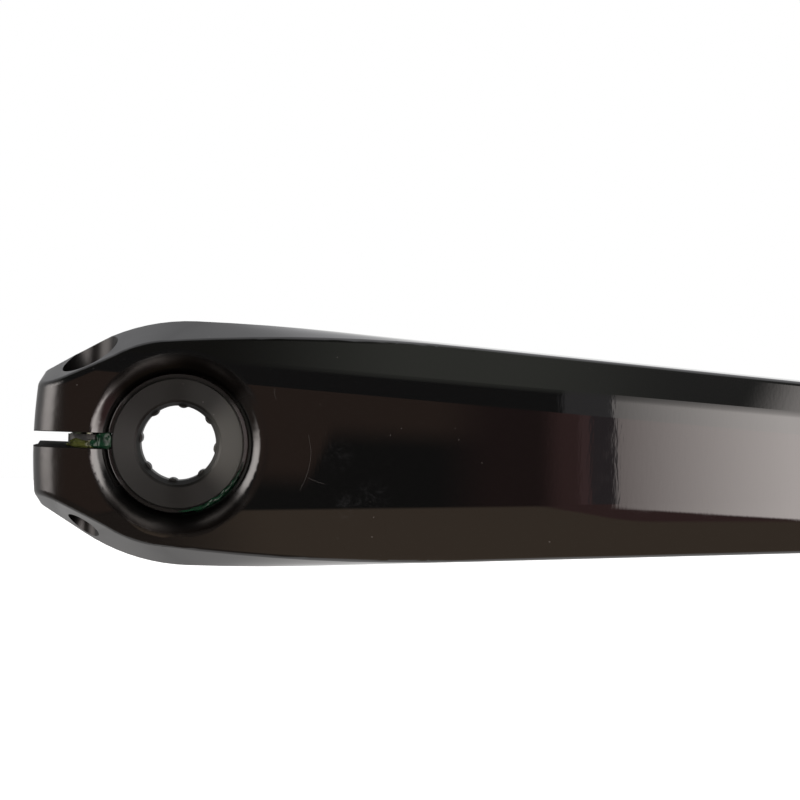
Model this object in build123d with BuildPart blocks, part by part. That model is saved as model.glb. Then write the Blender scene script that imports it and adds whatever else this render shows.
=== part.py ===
from build123d import *
from math import atan, cos, degrees, radians, sin, sqrt, tan
import os

os.makedirs("parts", exist_ok=True)

# Bicycle crank arm with a split clamp for a splined spindle, in millimetres.
# The spindle axis is Y and the outer face looks along -Y.
# X runs from the spindle to the pedal, Z is up, and the origin lies on the bearing face.

# Crank arm, side view
crank_length = 170.0
head_height = 26.5
pedal_offset = 40.0
eye_thickness = 13.5
boss_height = 0.6
boss_radius = 16.8
neck_reach = 46.0
neck_thickness = 18.5
foot_reach = 18.0
land_length = 18.0
land_blend = 80.0
neck_blend = 60.0
foot_blend = 20.0

# Crank arm, widest outline at the parting line of the forging, and its draft towards the back
parting_depth = 10.5
end_overhang = 29.05
end_half_width = 13.2
end_bow = 110.0
shoulder_angle = 31.0
shoulder_blend = 40.0
head_wall = 10.4
side_taper = 3.75
bend_reach = 30.0
eye_wall = 7.1
back_inset = 1.2

# Crank arm, outline at the outer face
face_end_inset = 4.4
face_shoulder_angle = 24.0
face_shoulder_blend = 20.0
face_wall = 3.8
face_side_taper = 3.7
face_bend_reach = 90.0
face_eye_inset = 0.9

# Outer face: bevels along both edges, rounded free end
ridge_at_spindle = 15.2
ridge_at_pedal = 6.4
bevel_angle = 24.0
ridge_blend = 11.0
end_rounding = 6.0
edge_rounding = 1.6
back_rounding = 0.8

# How far a face must look outwards or backwards to count as outer or back skin
outer_share = 0.65
side_share = 0.6
back_share = 0.9

# Cap recess
recess_depth = 5.5
recess_gap = 0.7
recess_flare = 3.0
recess_lip = 3.4

# Spindle bore
pilot_radius = 12.05
pilot_length = 4.0
spline_tip_radius = 11.4
spline_depth = 0.6
spline_teeth = 36
spline_gap = 1.0

# Slit and pinch bolts
slit_front = 3.15
slit_back = 1.9
bolt_reach = 18.1
bolt_spacing = 11.4
bolt_front_wall = 1.3
bolt_radius = 3.0
bolt_length = 19.0
bolt_seat = 7.2
bolt_head_radius = 4.9
bolt_head_height = 5.2
bolt_socket = 5.0
bolt_socket_depth = 3.2
bolt_edge = 0.5
bolt_hole_gap = 0.3
bolt_thread_gap = 0.05
head_hole_gap = 0.4

# Pedal eye
pedal_thread_radius = 7.15
pedal_chamfer = 0.8
pedal_land_radius = 11.6
pedal_land_rise = 0.4
pedal_land_edge = 0.25

# Preload cap
cap_radius = 13.05
cap_flange = 2.0
cap_edge = 0.35
cap_barrel_radius = 9.9
cap_barrel_length = 7.5
cap_mouth_radius = 8.3
cap_mouth_depth = 2.2
cap_rib_radius = 7.05
cap_rib_depth = 0.42
cap_ribs = 8
cap_rib_round = 1.4
cap_rib_turn = -5.5

# Stopper plate
plate_side_gap = 0.1
plate_fork_radius = 4.4
plate_mouth_half = 2.7
plate_half_height = 2.2
plate_pin_radius = 0.8
plate_pin_length = 0.6
plate_bolt_gap = 0.08
plate_bore_gap = 0.3

# Heights above the bearing face and the lean of the outer face
land_start = crank_length - land_length
lean = degrees(atan((pedal_offset - head_height) / land_start))
recess_floor = head_height - recess_depth
bolt_front = (
    head_height - bolt_reach * tan(radians(lean)) - bolt_front_wall - bolt_head_radius - head_hole_gap
)
bolt_back = bolt_front - bolt_spacing
back_at_eye = pedal_offset - eye_thickness
neck_outside = head_height + neck_reach * tan(radians(lean))
neck_back = neck_outside - neck_thickness
spline_root_radius = spline_tip_radius + spline_depth
plate_low = bolt_front - plate_fork_radius
slit_at_plate = slit_back + (slit_front - slit_back) * plate_low / head_height
plate_thickness = slit_at_plate - 2 * plate_side_gap
plate_end = -spline_root_radius - plate_bore_gap - plate_pin_length
plate_reach = bolt_reach + plate_end
cap_top = recess_floor + cap_flange
cap_foot = recess_floor - cap_barrel_length
cap_groove_radius = cap_rib_radius + cap_rib_depth
recess_radius = cap_radius + recess_gap
recess_mouth_radius = recess_radius + recess_depth * tan(radians(recess_flare))
head_half_width = recess_mouth_radius + head_wall
face_half_width = recess_mouth_radius + face_wall
face_end_half_width = end_half_width - face_end_inset
eye_radius = pedal_thread_radius + eye_wall
recess_flare_rise = 2 * recess_depth
recess_flare_run = recess_flare_rise * tan(radians(recess_flare))
room = 2 * head_half_width
end_beyond = -end_overhang - end_rounding
eye_beyond = crank_length + 2 * eye_radius

# Planes: local x runs towards the pedal on each of them
inner_face = Plane.XZ
side_view = Plane(origin=(0, 0, 0), x_dir=(1, 0, 0), z_dir=(0, 0, -1))
face_along = Vector(cos(radians(lean)), -sin(radians(lean)), 0)
face_out = Vector(-sin(radians(lean)), -cos(radians(lean)), 0)
outer_face = Plane(origin=(0, -head_height, 0), x_dir=face_along, z_dir=face_out)
side_end = Plane(origin=(0, 0, 0), x_dir=(0, -1, 0), z_dir=(-1, 0, 0))

# Outline corners
lean_stretch = 1 / cos(radians(lean))
shoulder_run = (head_half_width - end_half_width) / tan(radians(shoulder_angle))
face_shoulder_run = (face_half_width - face_end_half_width) / tan(radians(face_shoulder_angle))
ridge_slope = (ridge_at_spindle - ridge_at_pedal) / crank_length
ridge_turn = degrees(atan(ridge_slope))


def arm_outline(end, end_half, shoulder_run, shoulder_half, bend_at, taper, eye, radius):
    chord = end_bow - sqrt(end_bow**2 - end_half**2) - end
    shoulder = (chord + shoulder_run, shoulder_half)
    touch = (eye + radius * sin(radians(taper)), radius * cos(radians(taper)))
    bend = (bend_at, touch[1] + (touch[0] - bend_at) * tan(radians(taper)))
    ThreePointArc((chord, -end_half), (-end, 0), (chord, end_half))
    slope = Line((chord, end_half), shoulder)
    bow = TangentArc(bend, shoulder, tangent=(-cos(radians(taper)), sin(radians(taper))))
    straight = Line(bend, touch)
    ThreePointArc(touch, (eye + radius, 0), (touch[0], -touch[1]))
    mirror([slope, bow, straight], about=Plane.XZ)


def on_ridge(point):
    local = outer_face.to_local_coords(point)
    return abs(abs(local.Y) - ridge_at_spindle + ridge_slope * local.X) < edge_rounding


def faces_out(face):
    return face.normal_at().dot(face_out)


with BuildPart() as crank_arm:
    # Thickness and outward lean, seen from the side
    with BuildSketch(side_view) as side:
        with BuildLine():
            Polyline(
                (end_beyond, boss_height),
                (foot_reach, boss_height),
                (neck_reach, neck_back),
                (land_start, back_at_eye),
                (eye_beyond, back_at_eye),
                (eye_beyond, pedal_offset),
                (land_start, pedal_offset),
                (end_beyond, head_height + end_beyond * tan(radians(lean))),
                close=True,
            )
        make_face()
        land_corner = side.vertices().sort_by_distance((land_start, pedal_offset, 0))[0]
        fillet(land_corner, land_blend)
        eye_corner = side.vertices().sort_by_distance((land_start, back_at_eye, 0))[0]
        neck_corner = side.vertices().sort_by_distance((neck_reach, neck_back, 0))[0]
        fillet([eye_corner, neck_corner], neck_blend)
        foot_corner = side.vertices().sort_by_distance((foot_reach, boss_height, 0))[0]
        fillet(foot_corner, foot_blend)
    extrude(amount=room, both=True)
    # Sides leaning outwards from the inner side to the parting line and inwards to the outer face
    with BuildSketch(inner_face.offset(-edge_rounding)) as inner_outline:
        with BuildLine():
            arm_outline(
                end_overhang,
                end_half_width - back_inset,
                shoulder_run,
                head_half_width - back_inset,
                bend_reach,
                side_taper,
                crank_length,
                eye_radius - back_inset,
            )
        make_face()
        fillet(inner_outline.vertices().group_by(Axis.X)[1], shoulder_blend)
    with BuildSketch(outer_face.offset(-parting_depth)) as parting_outline:
        with BuildLine():
            arm_outline(
                end_overhang * lean_stretch,
                end_half_width,
                shoulder_run,
                head_half_width,
                bend_reach,
                side_taper,
                crank_length * lean_stretch,
                eye_radius,
            )
        make_face()
        fillet(parting_outline.vertices().group_by(Axis.X)[1], shoulder_blend)
    with BuildSketch(outer_face.offset(edge_rounding)) as face_outline:
        with BuildLine():
            arm_outline(
                end_overhang * lean_stretch,
                face_end_half_width,
                face_shoulder_run,
                face_half_width,
                face_bend_reach,
                face_side_taper,
                crank_length * lean_stretch,
                eye_radius - face_eye_inset,
            )
        make_face()
        fillet(face_outline.vertices().group_by(Axis.X)[1], face_shoulder_blend)
    loft(ruled=True, mode=Mode.INTERSECT)
    # Bevels along both edges of the outer face
    for side_sign in (1, -1):
        across = Vector(0, 0, side_sign)
        ridge_out = face_along * sin(radians(ridge_turn)) + across * cos(radians(ridge_turn))
        bevel_out = face_out * cos(radians(bevel_angle)) + ridge_out * sin(radians(bevel_angle))
        ridge_point = outer_face.from_local_coords((0, side_sign * ridge_at_spindle, 0))
        split(bisect_by=Plane(origin=ridge_point, z_dir=bevel_out), keep=Keep.BOTTOM)
    # Soft ridges between the face and its bevels
    face_edges = crank_arm.faces().sort_by_distance(outer_face.origin)[0].edges()
    ridges = face_edges.filter_by(GeomType.LINE).filter_by(lambda e: on_ridge(e.center()))
    fillet(ridges, ridge_blend)
    # Rounded outer edge of the free end
    face_edges = crank_arm.faces().sort_by_distance(outer_face.origin)[0].edges()
    fillet(face_edges.sort_by(Axis.X)[0], end_rounding)
    # Small radius round the outer edge and down the corners of the free end
    outer_skin = crank_arm.faces().filter_by(lambda f: faces_out(f) > outer_share)
    side_skin = crank_arm.faces().filter_by(lambda f: abs(faces_out(f)) < side_share)
    side_edges = side_skin.edges()
    rim_start = edge_rounding - end_overhang
    rim = outer_skin.edges().filter_by(lambda e: e in side_edges and e.center().X > rim_start)
    end_wall = side_skin.sort_by(Axis.X)[0]
    corners = end_wall.edges().filter_by(lambda e: abs(e.tangent_at().Y) > abs(e.tangent_at().Z))
    fillet(rim + corners, edge_rounding)
    # Smaller radius round the back
    back_skin = crank_arm.faces().filter_by(lambda f: faces_out(f) < -back_share)
    side_skin = crank_arm.faces().filter_by(lambda f: abs(faces_out(f)) < side_share)
    side_edges = side_skin.edges()
    back_rim = back_skin.edges().filter_by(lambda e: e in side_edges)
    fillet(back_rim, back_rounding)
    # Bearing boss on the inner side
    with BuildSketch(inner_face) as boss:
        Circle(boss_radius)
    extrude(amount=recess_floor)
    # Recess for the cap, flared towards its lip
    with BuildSketch(side_view) as recess:
        with BuildLine():
            Polyline(
                (0, recess_floor),
                (recess_radius, recess_floor),
                (recess_radius + recess_flare_run, recess_floor + recess_flare_rise),
                (0, recess_floor + recess_flare_rise),
                close=True,
            )
        make_face()
    revolve(axis=Axis.Y, mode=Mode.SUBTRACT)
    flare = crank_arm.faces().filter_by(GeomType.CONE).sort_by(SortBy.AREA)[-1]
    lip = flare.edges().filter_by(lambda e: -e.center().Y > recess_floor + cap_flange / 2)
    fillet(lip, recess_lip)
    # Plain pilot bore at the bearing face, then the splined bore
    with BuildSketch(inner_face) as pilot:
        Circle(pilot_radius)
    extrude(amount=pilot_length, mode=Mode.SUBTRACT)
    with BuildSketch(inner_face) as spline:
        Circle(spline_tip_radius)
        with PolarLocations(spline_tip_radius, spline_teeth):
            Rectangle(2 * spline_depth, spline_gap)
    extrude(amount=recess_floor, mode=Mode.SUBTRACT)
    # Slit through the clamp, a little wider at the outer face
    with BuildSketch(side_end) as slit:
        with BuildLine():
            Polyline(
                (0, -slit_back / 2),
                (head_height, -slit_front / 2),
                (head_height, slit_front / 2),
                (0, slit_back / 2),
                close=True,
            )
        make_face()
    extrude(amount=2 * end_overhang, mode=Mode.SUBTRACT)
    # Two pinch bolt holes: counterbored in the upper ear, threaded in the lower one
    for height in (bolt_front, bolt_back):
        with BuildSketch(side_view.offset(-bolt_seat)):
            with Locations((-bolt_reach, height)):
                Circle(bolt_head_radius + head_hole_gap)
        extrude(amount=-head_half_width, mode=Mode.SUBTRACT)
        with BuildSketch(side_view):
            with Locations((-bolt_reach, height)):
                Circle(bolt_radius + bolt_hole_gap)
        extrude(amount=-bolt_seat, mode=Mode.SUBTRACT)
        with BuildSketch(side_view):
            with Locations((-bolt_reach, height)):
                Circle(bolt_radius + bolt_thread_gap)
        extrude(amount=head_half_width, mode=Mode.SUBTRACT)
    # Flat round land for the shoulder of the pedal
    with BuildSketch(inner_face.offset(back_at_eye)) as pedal_land:
        with Locations((crank_length, 0)):
            Circle(pedal_land_radius)
    extrude(amount=eye_thickness + pedal_land_rise)
    chamfer(crank_arm.faces().sort_by(Axis.Y)[0].edges(), pedal_land_edge)
    # Pedal thread bore, plain at its major diameter
    with BuildSketch(inner_face) as pedal_bore:
        with Locations((crank_length, 0)):
            Circle(pedal_thread_radius)
    extrude(amount=room, mode=Mode.SUBTRACT)
    pedal_rims = crank_arm.edges().filter_by(GeomType.CIRCLE).filter_by(
        lambda e: abs(e.radius - pedal_thread_radius) < pedal_chamfer and e.center().X > land_start
    )
    chamfer(pedal_rims, pedal_chamfer)

with BuildPart() as preload_cap:
    # Flange and threaded barrel, open right through
    with BuildSketch(side_view) as cap_section:
        with BuildLine():
            Polyline(
                (cap_groove_radius, cap_foot),
                (cap_barrel_radius, cap_foot),
                (cap_barrel_radius, recess_floor),
                (cap_radius, recess_floor),
                (cap_radius, cap_top),
                (cap_mouth_radius, cap_top),
                (cap_groove_radius, cap_top - cap_mouth_depth),
                close=True,
            )
        make_face()
    revolve(axis=Axis.Y)
    chamfer(preload_cap.faces().sort_by(Axis.Y)[0].edges(), cap_edge)
    # Eight ribs for the tool
    with BuildSketch(inner_face.offset(cap_foot)) as ribs:
        with PolarLocations(cap_rib_radius + cap_rib_round, cap_ribs, start_angle=cap_rib_turn):
            Circle(cap_rib_round)
    extrude(amount=cap_top - cap_mouth_depth - cap_foot)

with BuildPart() as pinch_bolts:
    # Socket head bolts, both put in from above
    for height in (bolt_front, bolt_back):
        with BuildSketch(side_view.offset(-bolt_seat)):
            with Locations((-bolt_reach, height)):
                Circle(bolt_head_radius)
        extrude(amount=-bolt_head_height)
        with BuildSketch(side_view.offset(-bolt_seat)):
            with Locations((-bolt_reach, height)):
                Circle(bolt_radius)
        extrude(amount=bolt_length)
    chamfer(pinch_bolts.faces().group_by(Axis.Z)[-1].edges(), bolt_edge)
    chamfer(pinch_bolts.faces().group_by(Axis.Z)[0].edges(), bolt_edge)
    # Hexagon sockets
    for height in (bolt_front, bolt_back):
        with BuildSketch(side_view.offset(-bolt_seat - bolt_head_height)):
            with Locations((-bolt_reach, height)):
                RegularPolygon(radius=bolt_socket / 2, side_count=6, major_radius=False)
        extrude(amount=bolt_socket_depth, mode=Mode.SUBTRACT)

with BuildPart() as stopper_plate:
    # Fork on the outer bolt and a lug that reaches towards the bore
    with BuildSketch(side_view.offset(-plate_thickness / 2)) as fork:
        with Locations((-bolt_reach, bolt_front)):
            Circle(plate_fork_radius)
        with Locations((plate_end, bolt_front)):
            Rectangle(plate_reach, 2 * plate_half_height, align=(Align.MAX, Align.CENTER))
        with Locations((-bolt_reach, bolt_front)):
            Circle(bolt_radius + plate_bolt_gap, mode=Mode.SUBTRACT)
            Rectangle(
                plate_fork_radius,
                2 * plate_mouth_half,
                align=(Align.MAX, Align.CENTER),
                mode=Mode.SUBTRACT,
            )
    extrude(amount=plate_thickness)
    # Pin that catches the spindle once the plate is pushed in
    with BuildSketch(Plane.YZ.offset(plate_end)) as pin:
        with Locations((-bolt_front, 0)):
            Circle(plate_pin_radius)
    extrude(amount=plate_pin_length)

crank_arm.part.label = "crank_arm"
preload_cap.part.label = "preload_cap"
pinch_bolts.part.label = "pinch_bolts"
stopper_plate.part.label = "stopper_plate"
export_step(crank_arm.part, "parts/crank_arm.step")
export_step(preload_cap.part, "parts/preload_cap.step")
export_step(pinch_bolts.part, "parts/pinch_bolts.step")
export_step(stopper_plate.part, "parts/stopper_plate.step")
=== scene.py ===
"""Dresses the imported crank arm: gloss black forging, cap, pinch bolts, grease, thread and a studio."""

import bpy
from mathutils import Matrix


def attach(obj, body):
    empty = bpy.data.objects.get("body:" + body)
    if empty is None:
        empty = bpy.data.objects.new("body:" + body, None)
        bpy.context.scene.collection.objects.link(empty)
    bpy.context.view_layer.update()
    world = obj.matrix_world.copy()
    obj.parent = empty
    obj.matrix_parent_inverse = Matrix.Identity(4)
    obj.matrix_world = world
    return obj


bl_info = {
    "name": "Crank Arm",
    "version": (1, 0, 0),
    "blender": (4, 5, 0),
    "location": "View3D > Sidebar > Crank Arm",
    "description": "Finishes, grease, threads and studio for a clamp crank arm",
    "category": "Object",
}

from math import atan2, cos, pi, radians, sin, tan

import bmesh
import bpy
from bpy.props import FloatProperty, FloatVectorProperty, IntProperty, PointerProperty
from mathutils import Matrix, Vector, noise

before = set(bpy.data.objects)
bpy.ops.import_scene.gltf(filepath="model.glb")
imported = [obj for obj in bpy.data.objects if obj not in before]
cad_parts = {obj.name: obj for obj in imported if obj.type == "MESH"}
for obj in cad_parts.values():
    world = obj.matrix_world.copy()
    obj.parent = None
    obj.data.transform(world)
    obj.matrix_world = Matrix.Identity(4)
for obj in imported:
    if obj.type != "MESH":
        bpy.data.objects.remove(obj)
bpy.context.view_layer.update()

MM = 0.001
SPINDLE = Vector((0, 1, 0))
UP = Vector((0, 0, 1))
WHITE = (1, 1, 1, 1)

FACE_LEAN = radians(5.075)  # the outer face leans this much away from the spindle's square
FACE_ALONG = Vector((cos(FACE_LEAN), -sin(FACE_LEAN), 0))
FACE_OUT = Vector((-sin(FACE_LEAN), -cos(FACE_LEAN), 0))
FACE_HEIGHT = 26.5 * MM  # the outer face over the bearing face, at the spindle

# where the machined places begin and end
LIP_REACH = (11 * MM, 17.9 * MM)  # the recess and its lip, from the spindle's axis
LIP_HEIGHT = (-14 * MM, -16 * MM)
FREE_END = (-19.5 * MM, -24.5 * MM)
SLIT_HALF = (1.6 * MM, 1.66 * MM)
SLIT_ROOT = (-12 * MM, -13 * MM)
BOLT_X = -18.1 * MM
BOLT_HEIGHTS = (18.29 * MM, 6.89 * MM)
BOLT_HOLES = (3.05 * MM, 5.3 * MM)  # in the lower and the upper ear

SMUDGES = ((0.0385, -0.03, -0.0085), (0.0335, -0.03, -0.0115), (0.031, -0.03, -0.001))
BEAD_MIDDLE = Vector((13.4 * MM, -22.65 * MM, 0))  # in the gap round the cap
BEAD_START, BEAD_END = radians(-14), radians(-88)
BEAD_SIDES = 14
# hairs and specks on the outer face, as x and z in mm
HAIRS = (
    ((25.4, 2.75), (26.1, 0.2), (26.0, -2.5), (25.4, -5.4), (24.2, -8.1)),
    ((18.6, 11.6), (18.3, 10.6), (18.9, 9.6)),
    ((25.6, -5.5), (27.0, -6.3), (29.1, -6.7)),
)
SPECKS = (
    (23.1, 4.4), (28.7, 3.1), (33.9, -4.6), (30.5, 7.2), (41.2, -2.3), (47.5, 5.9), (21.4, -6.6),
)
THREAD_START = Vector((0.17, -27.6 * MM, 0))
THREAD_STEPS = 40  # in one turn

CAMERA_PLACE = Vector((9.4, -408.3, 10.3)) * MM
CAMERA_ROLL = radians(2.24)
EDGE_SLANT = -0.046  # leans the upright edges of the studio, so that they run straight over the ridges


def colour(name, description, default):
    return FloatVectorProperty(
        name=name, description=description, default=default, subtype="COLOR", size=3, min=0, max=1
    )


def length(name, description, default):
    return FloatProperty(
        name=name, description=description, default=default, unit="LENGTH", min=0, precision=5
    )


def share(name, description, default):
    return FloatProperty(
        name=name, description=description, default=default, subtype="FACTOR", min=0, max=1
    )


class ArmSettings(bpy.types.PropertyGroup):
    black: colour("Black", "Dye of the anodised layer", (0.0022, 0.0021, 0.002))
    # this metal tint is also painted shade on the lip above and below the cap, in the slit and in the
    # bolt holes
    bare_and_painted_shade: colour("Machined black", "Metal tint where the forging was machined", (0.013, 0.0125, 0.012))
    gloss: share("Roughness", "Roughness of the polished face", 0.016)
    wave: length("Polish waves", "Depth of the faint waves left by polishing", 7.0e-7)
    dust: share("Dust", "How much fine dust lies on the finish", 0.5)
    smudge: share("Smudges", "How strongly finger marks dull the gloss", 0.5)
    machined: share("Machined", "Roughness of the recess, the free end and the bolt holes", 0.42)


class CapSettings(bpy.types.PropertyGroup):
    black: colour("Plastic", "Colour of the moulded cap", (0.006, 0.006, 0.0054))
    satin: share("Roughness", "Roughness of the moulded face", 0.36)
    grain: length("Grain", "Depth of the moulded grain", 2.0e-6)


class BoltSettings(bpy.types.PropertyGroup):
    steel: colour("Steel", "Colour of the plated bolts", (0.32, 0.31, 0.3))
    plate: colour("Plate", "Colour of the stopper plate", (0.004, 0.0043, 0.004))


class GreaseSettings(bpy.types.PropertyGroup):
    green: colour("Green", "Thick assembly grease", (0.008, 0.036, 0.018))
    yellow: colour("Yellow", "Grease smeared thin", (0.062, 0.07, 0.018))
    bead: length("Bead", "Thickness of the grease pressed out round the cap", 0.62 * MM)


class LintSettings(bpy.types.PropertyGroup):
    thin: length("Thickness", "Radius of a hair", 0.025 * MM)


class ThreadSettings(bpy.types.PropertyGroup):
    radius: length("Root radius", "Radius of the plain hole in the pedal eye", 7.15 * MM)
    crest: length("Crest height", "Height of the thread over its root", 0.62 * MM)
    pitch: length("Pitch", "Advance of one turn, 20 turns to the inch", 1.27 * MM)
    turns: IntProperty(name="Turns", description="Full turns in the eye", default=9, min=1, max=12)


class StageSettings(bpy.types.PropertyGroup):
    floor: colour("Floor", "Colour of the studio floor", (0.8, 0.8, 0.79))
    floor_depth: length("Floor depth", "How far the floor lies under the spindle", 0.2)
    lens: FloatProperty(name="Lens", description="Focal length of the camera in mm", default=87.39)


class CrankSettings(bpy.types.PropertyGroup):
    arm: PointerProperty(type=ArmSettings)
    cap: PointerProperty(type=CapSettings)
    bolts: PointerProperty(type=BoltSettings)
    grease: PointerProperty(type=GreaseSettings)
    lint: PointerProperty(type=LintSettings)
    thread: PointerProperty(type=ThreadSettings)
    stage: PointerProperty(type=StageSettings)


class Graph:
    """A node tree with short calls for adding and linking its nodes."""

    def __init__(self, owner):
        owner.use_nodes = True
        self.tree = owner.node_tree
        self.tree.nodes.clear()

    def node(self, kind, sockets=(), **settings):
        made = self.tree.nodes.new(kind)
        for name, value in settings.items():
            setattr(made, name, value)
        for socket, value in dict(sockets).items():
            if isinstance(value, bpy.types.NodeSocket):
                self.tree.links.new(value, made.inputs[socket])
            else:
                made.inputs[socket].default_value = value
        return made

    def math(self, operation, *values):
        made = self.node("ShaderNodeMath", dict(enumerate(values)), operation=operation)
        return made.outputs[0]

    def product(self, value, *others):
        for other in others:
            value = self.math("MULTIPLY", value, other)
        return value

    def largest(self, value, *others):
        for other in others:
            value = self.math("MAXIMUM", value, other)
        return value

    def hypot(self, a, b):
        return self.math("SQRT", self.math("ADD", self.product(a, a), self.product(b, b)))

    def dot(self, vector, axis):
        made = self.node("ShaderNodeVectorMath", {0: vector, 1: axis}, operation="DOT_PRODUCT")
        return made.outputs["Value"]

    def distance(self, a, b):
        made = self.node("ShaderNodeVectorMath", {0: a, 1: b}, operation="DISTANCE")
        return made.outputs["Value"]

    def parts(self, vector):
        return self.node("ShaderNodeSeparateXYZ", {0: vector}).outputs

    def ease(self, value, start, end, low=0.0, high=1.0, smooth=True):
        made = self.node(
            "ShaderNodeMapRange",
            {"Value": value, "From Min": start, "From Max": end, "To Min": low, "To Max": high},
            interpolation_type="SMOOTHSTEP" if smooth else "LINEAR",
        )
        return made.outputs["Result"]

    def window(self, value, start, end, soft):
        rise = self.ease(value, start - soft, start + soft)
        fall = self.ease(value, end - soft, end + soft, 1.0, 0.0)
        return self.product(rise, fall)

    def sweep(self, angle, start, end, low=0.0, high=1.0, smooth=True):
        """Eases over an angle, with its start and end in degrees."""
        return self.ease(angle, radians(start), radians(end), low, high, smooth)

    def sector(self, angle, start, end, soft):
        """A window on an angle, in degrees."""
        return self.window(angle, radians(start), radians(end), radians(soft))

    def mix(self, factor, a, b, blend="MIX"):
        made = self.node("ShaderNodeMix", {0: factor, 6: a, 7: b}, data_type="RGBA", blend_type=blend)
        return made.outputs[2]

    def place(self, scale=(1, 1, 1)):
        spot = self.node("ShaderNodeTexCoord").outputs["Object"]
        return self.node("ShaderNodeMapping", {"Vector": spot, "Scale": scale}).outputs["Vector"]

    def noise(self, spot, scale, detail=3.0, rough=0.5):
        made = self.node(
            "ShaderNodeTexNoise", {"Vector": spot, "Scale": scale, "Detail": detail, "Roughness": rough}
        )
        return made.outputs["Fac"]

    def cells(self, spot, scale):
        made = self.node("ShaderNodeTexVoronoi", {"Vector": spot, "Scale": scale}, feature="F1")
        return made.outputs["Distance"]

    def bump(self, height, depth, normal=None):
        sockets = {"Height": height, "Distance": depth, "Strength": 1.0}
        if normal:
            sockets["Normal"] = normal
        return self.node("ShaderNodeBump", sockets).outputs["Normal"]

    def surface(self, sockets):
        shader = self.node("ShaderNodeBsdfPrincipled", sockets)
        self.node("ShaderNodeOutputMaterial", {"Surface": shader.outputs["BSDF"]})


def rgba(tint, gain=1.0):
    return (*[channel * gain for channel in tint], 1.0)


def new_piece(name, bm, material, smooth=True):
    """A piece made from a bmesh, riding on the arm."""
    mesh = bpy.data.meshes.new(name)
    bm.to_mesh(mesh)
    bm.free()
    if smooth:
        mesh.shade_smooth()
    mesh.materials.append(material)
    piece = bpy.data.objects.new(name, mesh)
    bpy.context.collection.objects.link(piece)
    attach(piece, "root")


def dress_node(node, material):
    """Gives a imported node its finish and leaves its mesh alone."""
    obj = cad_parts[node]
    if not obj.material_slots:
        obj.data.materials.append(None)
    for slot in obj.material_slots:
        slot.link = "OBJECT"
        slot.material = material


def on_face(x, z):
    """The point of the outer face at x and z in mm."""
    return Vector((x * MM, -FACE_HEIGHT - x * MM * tan(FACE_LEAN), z * MM))


def machined(g, spot, dull):
    """How dull the turned recess, the sawn slit, the bolt holes and the free end are, and where painted
    shade darkens the lip above and below the cap, the slit and the bolt holes.
    """
    x, y, z = g.parts(spot)
    reach = g.hypot(x, z)
    off_middle = g.math("ABSOLUTE", z)
    lip = g.product(g.window(reach, *LIP_REACH, 0.5 * MM), g.ease(y, *LIP_HEIGHT))
    # the lip is duller above and below the cap than beside it, and painted shade makes it darker there
    upright = g.ease(g.math("DIVIDE", off_middle, reach), 0.42, 0.72)
    lip_dull = g.product(lip, g.ease(upright, 0.0, 1.0, dull * 0.3, dull * 0.75))
    end_dull = g.ease(x, *FREE_END, 0.0, dull * 0.75)
    slit = g.product(g.ease(off_middle, *SLIT_HALF, 1.0, 0.0), g.ease(x, *SLIT_ROOT))
    holes = 0.0
    for height in BOLT_HEIGHTS:
        away = g.hypot(g.math("ADD", x, -BOLT_X), g.math("ADD", y, height))
        outside = g.math("SUBTRACT", away, g.ease(z, -MM, MM, *BOLT_HOLES, False))
        holes = g.largest(holes, g.ease(outside, 0.04 * MM, 0.1 * MM, 1.0, 0.0))
    dullness = g.largest(lip_dull, end_dull, g.product(slit, 0.85), g.product(holes, dull * 0.8))
    # the second mask is a dark metal tint: painted shade on the lip above and below the cap and in the
    # bolt holes, and partly painted shade on the sawn slit walls
    return dullness, g.largest(g.product(lip, upright), slit, g.product(holes, 0.5))


def gloss_black(settings):
    """Polished black anodising with faint waves and streaks, dust and finger marks, and painted shade on
    the recess lip, in the slit and in the bolt holes.
    """
    material = bpy.data.materials.new("gloss_black")
    g = Graph(material)
    spot = g.place()
    streaks = g.noise(g.place(scale=(1.0, 1.0, 0.22)), 2000.0, 1.5)
    swell = g.noise(spot, 70.0, 1.0)
    waves = g.bump(swell, settings.wave * 4, g.bump(streaks, settings.wave))
    specks = g.ease(g.cells(spot, 420.0), 0.02, 0.075, 1.0, 0.0)
    sparse = g.ease(g.noise(spot, 60.0, 2.0), 0.52, 0.7)
    dust = g.product(specks, sparse, settings.dust)
    marks = g.product(g.ease(g.noise(spot, 45.0, 5.0, 0.62), 0.56, 0.8), settings.smudge)
    tint = g.mix(dust, rgba(settings.black), (0.35, 0.33, 0.31, 1.0))
    for smudge in SMUDGES:
        near = g.ease(g.distance(spot, smudge), 4.2 * MM, 1.2 * MM)
        patchy = g.ease(g.noise(spot, 1100.0, 4.0), 0.46, 0.72)
        tint = g.mix(g.product(near, patchy, settings.smudge), tint, (0.018, 0.018, 0.019, 1.0))
    rough = g.math("MULTIPLY_ADD", marks, 0.16, settings.gloss)
    rough = g.math("ADD", rough, g.product(dust, 0.5))
    # dark carries painted shade: the machined tint darkens the upright lip, the slit and the bolt holes
    dull, dark = machined(g, spot, settings.machined)
    g.surface(
        {
            "Base Color": g.mix(dark, tint, rgba(settings.bare_and_painted_shade)),
            "Metallic": dark,
            "Roughness": g.largest(rough, dull),
            "IOR": 1.72,
            "Normal": waves,
        }
    )
    return material


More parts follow.
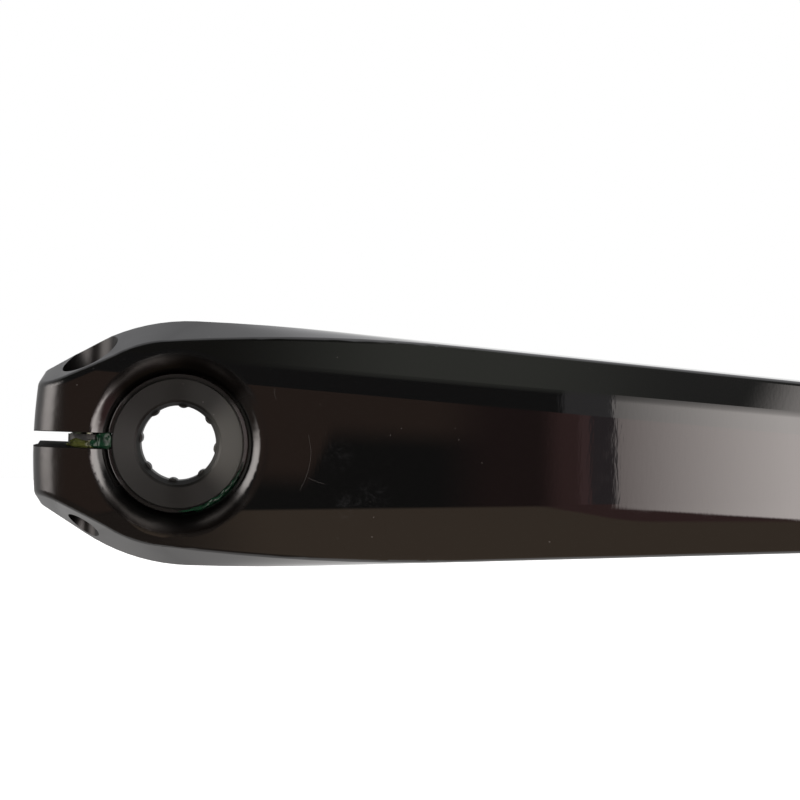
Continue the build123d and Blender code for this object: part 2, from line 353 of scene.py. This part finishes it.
def satin_plastic(settings):
    """Moulded black plastic with a fine grain, greyer where worn, and a painted sheen that makes it
    paler towards the arm.
    """
    material = bpy.data.materials.new("satin_plastic")
    g = Graph(material)
    spot = g.place()
    rub = g.ease(g.noise(spot, 140.0, 4.0, 0.6), 0.42, 0.75)
    specks = g.ease(g.cells(spot, 520.0), 0.03, 0.1, 0.7, 0.0)
    dust = g.product(specks, g.ease(g.noise(spot, 90.0), 0.48, 0.65))
    tint = g.mix(rub, rgba(settings.black), rgba(settings.black, 1.5))
    x, _, z = g.parts(spot)
    # painted sheen: the side of the cap towards the arm is painted up to nine times paler
    painted_light_towards_arm = g.math("DIVIDE", x, g.hypot(x, z))
    tint = g.mix(g.ease(painted_light_towards_arm, 0.55, 1.0), tint, rgba(settings.black, 9.0))
    g.surface(
        {
            "Base Color": g.mix(dust, tint, (0.4, 0.39, 0.37, 1.0)),
            "Roughness": g.math("MULTIPLY_ADD", rub, 0.08, settings.satin),
            "IOR": 1.33,
            "Anisotropic": 0.85,
            "Anisotropic Rotation": 0.25,
            "Tangent": g.node("ShaderNodeTangent", direction_type="RADIAL", axis="Y").outputs[0],
            "Normal": g.bump(g.noise(spot, 2600.0, 3.0), settings.grain),
        }
    )
    return material


def bolt_steel(settings):
    """Plated steel with turning marks, a film of grease in patches, and a dark greenish coat in the slit
    that is partly grease and partly painted shade.
    """
    material = bpy.data.materials.new("bolt_steel")
    g = Graph(material)
    spot = g.place()
    turning = g.noise(g.place(scale=(0.2, 0.2, 1.0)), 5200.0, 2.0)
    film = g.ease(g.noise(spot, 380.0, 3.0), 0.45, 0.62)
    tint = g.mix(film, rgba(settings.steel), (0.17, 0.165, 0.12, 1.0))
    x, _, z = g.parts(spot)
    in_slit = g.window(z, -1.8 * MM, 1.8 * MM, 0.1 * MM)
    # partly painted shade: in the slit the bolt is painted near black, darkest to the left, partly a
    # grease film and partly the slit's shade
    grease_and_painted_shade = g.product(in_slit, g.ease(x, -17.5 * MM, -18.2 * MM, 0.55, 1.0))
    g.surface(
        {
            "Base Color": g.mix(grease_and_painted_shade, tint, (0.014, 0.017, 0.011, 1.0)),
            "Metallic": 1.0,
            "Roughness": g.ease(film, 0.0, 1.0, 0.33, 0.2, False),
            "Normal": g.bump(turning, 4.0e-6),
        }
    )
    return material


def greasy_plastic(settings):
    """Dark moulded plastic with a wet film of green grease in patches and one lighter patch just above
    the middle of the slit.
    """
    material = bpy.data.materials.new("greasy_plastic")
    g = Graph(material)
    spot = g.place()
    wet = g.ease(g.noise(spot, 420.0, 3.0), 0.4, 0.6)
    tint = g.mix(wet, rgba(settings.plate), (0.003, 0.006, 0.0035, 1.0))
    x, _, z = g.parts(spot)
    # a lighter patch of colour on the plate, between x -17.9 and -15.7 mm, just above the middle of the
    # slit
    lighter_patch = g.product(
        g.window(x, -17.9 * MM, -15.7 * MM, 0.2 * MM), g.window(z, 0.25 * MM, 1.6 * MM, 0.15 * MM)
    )
    g.surface(
        {
            "Base Color": g.mix(lighter_patch, tint, (0.02, 0.019, 0.017, 1.0)),
            "Roughness": g.ease(wet, 0.0, 1.0, 0.65, 0.4, False),
            "Normal": g.bump(g.noise(spot, 1500.0), 6.0e-6),
        }
    )
    return material


def wet_grease(name, tint, thinned):
    """Glossy grease in two tones, the second being the first times thinned."""
    material = bpy.data.materials.new(name)
    g = Graph(material)
    spot = g.place()
    depth = g.ease(g.noise(spot, 650.0, 4.0), 0.35, 0.65)
    g.surface(
        {
            "Base Color": g.mix(depth, rgba(tint), rgba(tint, thinned)),
            "Roughness": g.ease(depth, 0.0, 1.0, 0.1, 0.25),
            "IOR": 1.3,
            "Normal": g.bump(g.noise(spot, 900.0, 2.0), 2.5e-5),
        }
    )
    return material


def pale_lint():
    """Pale dusty fibre, patchy in tone."""
    material = bpy.data.materials.new("pale_lint")
    g = Graph(material)
    tint = g.mix(g.noise(g.place(), 900.0), (0.03, 0.028, 0.026, 1.0), (0.1, 0.095, 0.09, 1.0))
    g.surface({"Base Color": tint, "Roughness": 0.8})
    return material


class CRANK_OT_arm(bpy.types.Operator):
    """Gives the forged arm its gloss black finish"""

    bl_idname = "crank.arm"
    bl_label = "Arm finish"

    def execute(self, context):
        dress_node("crank_arm", gloss_black(context.scene.crank.arm))
        return {"FINISHED"}


class CRANK_OT_cap(bpy.types.Operator):
    """Gives the preload cap its satin plastic"""

    bl_idname = "crank.cap"
    bl_label = "Cap finish"

    def execute(self, context):
        dress_node("preload_cap", satin_plastic(context.scene.crank.cap))
        return {"FINISHED"}


class CRANK_OT_bolts(bpy.types.Operator):
    """Gives the pinch bolts their steel and the stopper plate its greasy plastic"""

    bl_idname = "crank.bolts"
    bl_label = "Bolts and plate"

    def execute(self, context):
        settings = context.scene.crank.bolts
        dress_node("pinch_bolts", bolt_steel(settings))
        dress_node("stopper_plate", greasy_plastic(settings))
        return {"FINISHED"}


class CRANK_OT_grease(bpy.types.Operator):
    """Presses green grease out round the cap and into the slit"""

    bl_idname = "crank.grease"
    bl_label = "Grease"

    def execute(self, context):
        settings = context.scene.crank.grease
        green = wet_grease("green_grease", settings.green, 0.35)
        yellow = wet_grease("yellow_grease", settings.yellow, 0.16)
        self.bead(settings.bead, green)
        self.lump("slit_grease", (-14.45, -22.2, 0.0), (1.45, 1.0, 1.6), 0.22, 0.5, green)
        self.lump("slit_film", (-16.3, -22.5, -0.7), (1.3, 0.25, 0.8), 0.4, 0.8, green)
        self.lump("smeared_grease", (-18.9, -22.5, -0.7), (2.3, 0.3, 0.85), 0.55, 0.85, yellow)
        return {"FINISHED"}

    def bead(self, thickness, material):
        """A bead in the gap round the cap, thinning out to both ends."""
        sweep = BEAD_END - BEAD_START
        bm = bmesh.new()
        ring = bmesh.ops.create_circle(bm, segments=BEAD_SIDES, radius=1.0)["verts"]
        for vert in ring:
            vert.co = BEAD_MIDDLE + Vector((vert.co.x, vert.co.y, 0)) * thickness
        to_start = Matrix.Rotation(-BEAD_START, 3, "Y")
        bmesh.ops.rotate(bm, verts=ring, cent=(0, 0, 0), matrix=to_start)
        ends = bm.verts[:] + bm.edges[:]
        bmesh.ops.spin(bm, geom=ends, cent=(0, 0, 0), axis=SPINDLE, angle=-sweep, steps=90)
        bmesh.ops.holes_fill(bm, edges=bm.edges, sides=BEAD_SIDES)
        bmesh.ops.recalc_face_normals(bm, faces=bm.faces)
        for vert in bm.verts:
            angle = atan2(vert.co.z, vert.co.x)
            core = Vector((cos(angle) * BEAD_MIDDLE.x, BEAD_MIDDLE.y, sin(angle) * BEAD_MIDDLE.x))
            along = (angle - BEAD_START) / sweep
            taper = max(0.0, sin(pi * min(1.0, max(0.0, along)))) ** 1.1
            rough = 1 + 0.55 * noise.noise(vert.co * 900)
            vert.co = core + (vert.co - core) * (0.08 + 0.92 * taper) * rough
        new_piece("cap_grease", bm, material)

    def lump(self, name, centre, reach, lumpy, square, material):
        """A rounded lump, given by its centre and half sizes in mm; a low square fills its corners."""
        bm = bmesh.new()
        bmesh.ops.create_icosphere(bm, subdivisions=4, radius=1.0)
        for vert in bm.verts:
            swell = 1 + lumpy * noise.noise(vert.co * 1.7 + Vector(centre))
            box = Vector([abs(c) ** square * (1 if c > 0 else -1) for c in vert.co])
            vert.co = (Vector(centre) + Vector([b * r * swell for b, r in zip(box, reach)])) * MM
        new_piece(name, bm, material)


class CRANK_OT_lint(bpy.types.Operator):
    """Lays a few hairs and specks of lint on the outer face"""

    bl_idname = "crank.lint"
    bl_label = "Lint"

    def execute(self, context):
        thin = context.scene.crank.lint.thin
        bm = bmesh.new()
        mesh = self.hairs(thin)
        bm.from_mesh(mesh)
        bpy.data.meshes.remove(mesh)
        for x, z in SPECKS:
            place = Matrix.Translation(on_face(x, z))
            bmesh.ops.create_icosphere(bm, subdivisions=1, radius=thin * 2.2, matrix=place)
        new_piece("lint", bm, pale_lint())
        return {"FINISHED"}

    def hairs(self, thin):
        """A mesh of curved hairs that lie on the face."""
        curve = bpy.data.curves.new("lint", "CURVE")
        curve.dimensions = "3D"
        curve.bevel_depth = thin
        curve.bevel_resolution = 1
        curve.use_fill_caps = True
        for hair in HAIRS:
            line = curve.splines.new("NURBS")
            line.points.add(len(hair) - 1)
            line.use_endpoint_u = True
            line.order_u = 3
            for point, (x, z) in zip(line.points, hair):
                point.co = (*(on_face(x, z) + FACE_OUT * thin * 0.6), 1.0)
        drawn = bpy.data.objects.new("lint_line", curve)
        mesh = bpy.data.meshes.new_from_object(drawn)
        bpy.data.objects.remove(drawn)
        return mesh


class CRANK_OT_thread(bpy.types.Operator):
    """Winds the left-hand thread into the pedal eye"""

    bl_idname = "crank.thread"
    bl_label = "Pedal thread"

    def execute(self, context):
        settings = context.scene.crank.thread
        foot = settings.pitch * 0.44
        flat = settings.pitch * 0.07
        sunk = settings.radius + 0.01 * MM  # the foot lies just under the hole's wall
        bm = bmesh.new()
        rise = [(0, -foot), (settings.crest, -flat), (settings.crest, flat), (0, foot)]
        profile = [bm.verts.new(THREAD_START + Vector((sunk - up, along, 0))) for up, along in rise]
        edges = [bm.edges.new((a, b)) for a, b in zip(profile, profile[1:] + profile[:1])]
        bmesh.ops.spin(
            bm,
            geom=profile + edges,
            cent=THREAD_START,
            axis=-SPINDLE,
            dvec=-SPINDLE * settings.pitch / THREAD_STEPS,
            angle=2 * pi * settings.turns,
            steps=THREAD_STEPS * settings.turns,
        )
        bmesh.ops.holes_fill(bm, edges=bm.edges, sides=4)
        bmesh.ops.recalc_face_normals(bm, faces=bm.faces)
        black = bpy.data.materials["gloss_black"]
        new_piece("pedal_thread", bm, black, smooth=False)
        return {"FINISHED"}


class CRANK_OT_stage(bpy.types.Operator):
    """Sets up the camera, the floor and the soft studio light"""

    bl_idname = "crank.stage"
    bl_label = "Studio"

    def execute(self, context):
        settings = context.scene.crank.stage
        self.set_camera(context, settings)
        self.lay_floor(settings)
        self.light(context.scene)
        context.scene.view_settings.view_transform = "Standard"
        return {"FINISHED"}

    def set_camera(self, context, settings):
        camera = bpy.data.objects.new("camera", bpy.data.cameras.new("camera"))
        context.collection.objects.link(camera)
        right = FACE_ALONG * cos(CAMERA_ROLL) + UP * sin(CAMERA_ROLL)
        top = UP * cos(CAMERA_ROLL) - FACE_ALONG * sin(CAMERA_ROLL)
        axes = Matrix((right, top, FACE_OUT)).transposed().to_4x4()
        camera.matrix_world = Matrix.Translation(CAMERA_PLACE) @ axes
        camera.data.sensor_width = 36
        camera.data.lens = settings.lens
        camera.data.clip_start = 0.01
        context.scene.camera = camera

    def lay_floor(self, settings):
        bm = bmesh.new()
        bmesh.ops.create_circle(bm, cap_ends=True, segments=96, radius=4.0)
        bmesh.ops.translate(bm, verts=bm.verts, vec=(0, 0, -settings.floor_depth))
        mesh = bpy.data.meshes.new("floor")
        bm.to_mesh(mesh)
        bm.free()
        floor = bpy.data.objects.new("floor", mesh)
        bpy.context.collection.objects.link(floor)
        material = bpy.data.materials.new("pale_floor")
        g = Graph(material)
        cloth = g.mix(g.noise(g.place(), 3.0), rgba(settings.floor), rgba(settings.floor, 0.96))
        matte = g.node("ShaderNodeBsdfDiffuse", {"Color": cloth}).outputs[0]
        white = g.node("ShaderNodeEmission", {"Color": WHITE, "Strength": 0.75}).outputs[0]
        path = g.node("ShaderNodeLightPath")
        glow = g.node("ShaderNodeAddShader", {0: matte, 1: white}).outputs[0]
        seen = g.node("ShaderNodeMixShader", {0: path.outputs["Is Camera Ray"], 1: matte, 2: glow})
        g.node("ShaderNodeOutputMaterial", {"Surface": seen.outputs[0]})
        mesh.materials.append(material)
        floor.visible_glossy = False

    def light(self, scene):
        """The surroundings that the gloss reflects; the camera itself sees white."""
        world = bpy.data.worlds.new("studio")
        scene.world = world
        g = Graph(world)
        ray = g.node("ShaderNodeTexCoord").outputs["Generated"]
        across = g.dot(ray, FACE_ALONG)
        out = g.dot(ray, FACE_OUT)
        turn = g.math("ARCTAN2", across, out)
        lift = g.math("ARCSINE", g.dot(ray, UP))
        side = g.math("ARCSINE", across)
        side = g.math("MULTIPLY_ADD", g.math("ABSOLUTE", lift), EDGE_SLANT, side)
        room = self.dark_room(g, side, lift)
        room = self.ceiling_and_table(g, room, side, lift)
        right_box = self.right_box(g, across, side, lift, turn)
        boxes = g.math("ADD", right_box, self.left_box(g, lift, turn))
        grey = g.node("ShaderNodeCombineColor", {0: boxes, 1: boxes, 2: boxes}).outputs[0]
        glow = g.mix(1.0, grey, (1, 0.935, 0.9, 1), "MULTIPLY")
        room = g.mix(1.0, room, glow, "ADD")
        studio = g.mix(g.ease(out, 0.12, -0.12), room, self.backdrop(g, side, lift))
        path = g.node("ShaderNodeLightPath")
        seen = g.mix(path.outputs["Is Camera Ray"], studio, WHITE)
        back = g.node("ShaderNodeBackground", {"Color": seen, "Strength": 1.0})
        g.node("ShaderNodeOutputWorld", {"Surface": back.outputs[0]})

    def dark_room(self, g, side, lift):
        """In front of the face: brown above, black lower down, redder to the right."""
        step_down = g.sweep(side, -1.9, -2.9, 0.0, radians(1.4))
        leftward = g.math("ADD", step_down, g.sweep(side, -4.5, -9, 0.0, radians(8)))
        height = g.math("ADD", lift, leftward)
        room = g.mix(g.sweep(height, -1.5, -0.6), (0.04, 0.04, 0.04, 1), (0.19, 0.125, 0.1, 1))
        room = g.mix(g.sweep(side, 0.8, 3.0), room, (0.105, 0.062, 0.06, 1))
        room = g.mix(g.sweep(side, 4.0, 4.9), room, (0.29, 0.155, 0.15, 1))
        # a dark strip with a pale fringe beside the soft box, ending at the lower ridge
        above_ridge = g.sweep(lift, -6, -3.5)
        fringe = g.product(g.sector(side, 5.28, 5.6, 0.07), above_ridge)
        room = g.mix(fringe, room, (0.42, 0.24, 0.24, 1))
        strip = g.product(g.sector(side, 5.6, 6.4, 0.05), above_ridge)
        room = g.mix(strip, room, (0.2, 0.165, 0.18, 1))
        # the strip runs on over the upper ridge, which is black to its left
        over = g.sector(side, 4.86, 6.4, 0.12)
        over = g.mix(over, (0.05, 0.05, 0.052, 1), (0.27, 0.26, 0.27, 1))
        return g.mix(g.sweep(lift, 2.5, 5), room, over)

    def ceiling_and_table(self, g, room, side, lift):
        """An olive ceiling overhead and a warm table below, both darker to the left."""
        ceiling = g.mix(g.sweep(side, -6, 0.5), (0.05, 0.05, 0.045, 1), (0.31, 0.32, 0.285, 1))
        ceiling = g.mix(g.sweep(side, 3, 9), ceiling, (0.16, 0.16, 0.155, 1))
        room = g.mix(g.sweep(lift, 38, 49), room, ceiling)
        table = g.mix(g.sweep(side, -7.5, -3.5), (0.13, 0.1, 0.085, 1), (0.39, 0.29, 0.215, 1))
        edge = g.sweep(side, 4.0, 7.4, radians(-10), radians(-41))
        return g.mix(g.sweep(g.math("SUBTRACT", lift, edge), 2.5, -2.5), room, table)

    def right_box(self, g, across, side, lift, turn):
        """A tall soft box with cut corners to the right of the camera, and a low one beyond it."""
        low = g.sweep(g.math("MULTIPLY_ADD", across, 4.15, lift), 14.2, 18.8)
        cut_corner = g.ease(across, 0.205, 0.26, 0.0, radians(6.5), False)
        top = g.sweep(g.math("SUBTRACT", lift, cut_corner), 42, 46.5, 1.0, 0.0)
        high = g.product(g.sweep(lift, 33, 42, 1.0, 0.42, False), top)
        tall = g.product(low, high, g.sweep(side, 14, 17, 1.0, 0.0))
        band = g.product(g.sweep(lift, -20, -4), g.sweep(lift, 26, 12))
        wide = g.product(g.sweep(side, 14, 17), band)
        power = g.product(
            g.sweep(side, 6.3, 11.5, 1.25, 4.8, False), g.sweep(turn, 40, 62, 1.0, 0.26)
        )
        return g.product(g.math("ADD", tall, wide), g.sweep(side, 6.27, 6.43), power)

    def left_box(self, g, lift, turn):
        """A softer box far to the left."""
        beside = g.product(g.sweep(turn, -112, -62), g.sweep(turn, -30, -46))
        band = g.product(g.sweep(lift, -16, 2), g.sweep(lift, 30, 27))
        return g.product(beside, band, 4.5)

    def backdrop(self, g, side, lift):
        """The white screen behind the arm, greyer above, below and to the left."""
        screen = g.mix(g.sweep(lift, 14, 32), WHITE, (0.86, 0.86, 0.88, 1))
        screen = g.mix(g.sweep(lift, -14, -32), screen, (0.9, 0.88, 0.87, 1))
        dimmed = g.mix(1.0, screen, (0.72, 0.72, 0.72, 1), "MULTIPLY")
        screen = g.mix(g.sweep(side, -7.5, -3), dimmed, screen)
        dimmed = g.mix(1.0, screen, (0.72, 0.71, 0.71, 1), "MULTIPLY")
        return g.mix(g.sweep(side, -50, -15), dimmed, screen)


class VIEW3D_PT_crank(bpy.types.Panel):
    """Lists the steps that dress the crank arm"""

    bl_idname = "VIEW3D_PT_crank"
    bl_label = "Crank Arm"
    bl_space_type = "VIEW_3D"
    bl_region_type = "UI"
    bl_category = "Crank Arm"

    def draw(self, context):
        for step in STEPS:
            self.layout.operator(step.bl_idname)


SETTINGS = (
    ArmSettings,
    CapSettings,
    BoltSettings,
    GreaseSettings,
    LintSettings,
    ThreadSettings,
    StageSettings,
    CrankSettings,
)
STEPS = (
    CRANK_OT_arm,
    CRANK_OT_cap,
    CRANK_OT_bolts,
    CRANK_OT_grease,
    CRANK_OT_lint,
    CRANK_OT_thread,
    CRANK_OT_stage,
)


def register():
    for cls in (*SETTINGS, *STEPS, VIEW3D_PT_crank):
        bpy.utils.register_class(cls)
    bpy.types.Scene.crank = PointerProperty(type=CrankSettings)


def unregister():
    del bpy.types.Scene.crank
    for cls in reversed((*SETTINGS, *STEPS, VIEW3D_PT_crank)):
        bpy.utils.unregister_class(cls)


def main():
    register()
    bpy.ops.crank.arm()
    bpy.ops.crank.cap()
    bpy.ops.crank.bolts()
    bpy.ops.crank.grease()
    bpy.ops.crank.lint()
    bpy.ops.crank.thread()
    bpy.ops.crank.stage()


if __name__ == "__main__":
    main()
